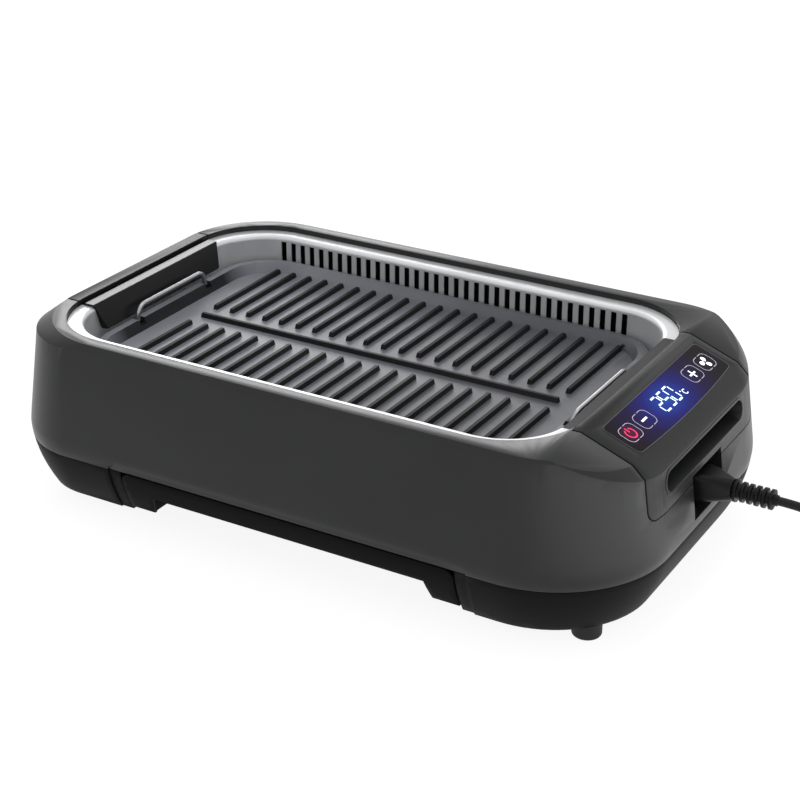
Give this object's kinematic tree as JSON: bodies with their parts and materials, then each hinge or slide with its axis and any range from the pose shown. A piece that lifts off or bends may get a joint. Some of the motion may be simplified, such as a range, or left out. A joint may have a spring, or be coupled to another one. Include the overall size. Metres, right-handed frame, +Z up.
{
  "type": "smokeless indoor grill",
  "caption": "Low countertop grill with a lift-out ribbed plate in a slotted steel well, folding wire handles, a drip drawer, an extractor fan and a touch panel on the sloping end.",
  "frame": {"origin": "on the worktop under the centre of the housing, without the lead and its plug", "axes": "+X along the length towards the control panel, +Y towards the back, +Z up"},
  "size_m": [0.72, 0.3933, 0.152],
  "materials": {
    "housing_black": "fine satin, moulded",
    "deck_belt": "satin, moulded",
    "base_black": "fine texture, moulded",
    "saddle_black": "satin, moulded",
    "steel": "satin sheet",
    "bright_wire": "bright plated",
    "plate_coating": "non-stick coated casting, soft sheen",
    "element_sheath": "dark oxidised tube",
    "white_block": "heat-proof moulding",
    "glass_black": "polished, printed behind",
    "board_green": "coated board",
    "display_grey": "moulded module",
    "spring_steel": "plated springs and screws",
    "wheel_plastic": "moulded",
    "scroll_plastic": "moulded",
    "motor_steel": "zinc plated",
    "bin_black": "moulded",
    "brass_pins": "bright",
    "connector_black": "soft moulded",
    "lead_black": "smooth flexible sheath",
    "foot_rubber": "matt"
  },
  "bodies": {
    "housing": {"upper_housing": "housing_black", "base_tub": "base_black", "right_saddle": "saddle_black", "left_saddle": "saddle_black", "left_guard": "deck_belt", "right_guard": "deck_belt", "steel_well": "steel", "heating_element": "element_sheath", "element_supports": "steel", "terminal_block": "white_block", "temperature_probe": "steel", "fan_scroll": "scroll_plastic", "motor_bracket": "motor_steel", "fan_motor": "motor_steel", "touch_glass": "glass_black", "display_board": "board_green", "led_display": "display_grey", "touch_springs": "spring_steel", "board_screws": "spring_steel", "power_board": "board_green", "inlet_socket": "connector_black", "inlet_pins": "brass_pins", "power_connector": "connector_black", "lead_stretch": "lead_black", "lead_coil": "lead_black", "mains_plug": "connector_black", "base_screws": "spring_steel", "foot_front_left": "foot_rubber", "foot_back_left": "foot_rubber", "foot_front_right": "foot_rubber", "foot_back_right": "foot_rubber"},
    "grill_plate": {"grill_plate": "plate_coating"},
    "left_handle": {"left_handle": "bright_wire"},
    "right_handle": {"right_handle": "bright_wire"},
    "drawer": {"drawer_front": "base_black", "drip_bin": "bin_black"},
    "fan": {"fan_wheel": "wheel_plastic", "fan_shaft": "motor_steel"}
  },
  "joints": [
    {"name": "plate_lift", "type": "slide", "parent": "housing", "child": "grill_plate", "axis": [0, 0, 1], "range_m": [0, 0.08]},
    {"name": "left_handle_fold", "type": "hinge", "parent": "grill_plate", "child": "left_handle", "pos_m": [-0.2228, 0, 0.1235], "axis": [0, 1, 0], "range_deg": [-5, 75]},
    {"name": "right_handle_fold", "type": "hinge", "parent": "grill_plate", "child": "right_handle", "pos_m": [0.1828, 0, 0.1235], "axis": [0, 1, 0], "range_deg": [-90, 15]},
    {"name": "drawer_slide", "type": "slide", "parent": "housing", "child": "drawer", "axis": [0, -1, 0], "range_m": [0, 0.15]},
    {"name": "fan_spin", "type": "hinge", "parent": "housing", "child": "fan", "pos_m": [-0.02, 0.084, 0.03], "axis": [0, 0, 1], "continuous": true}
  ]
}
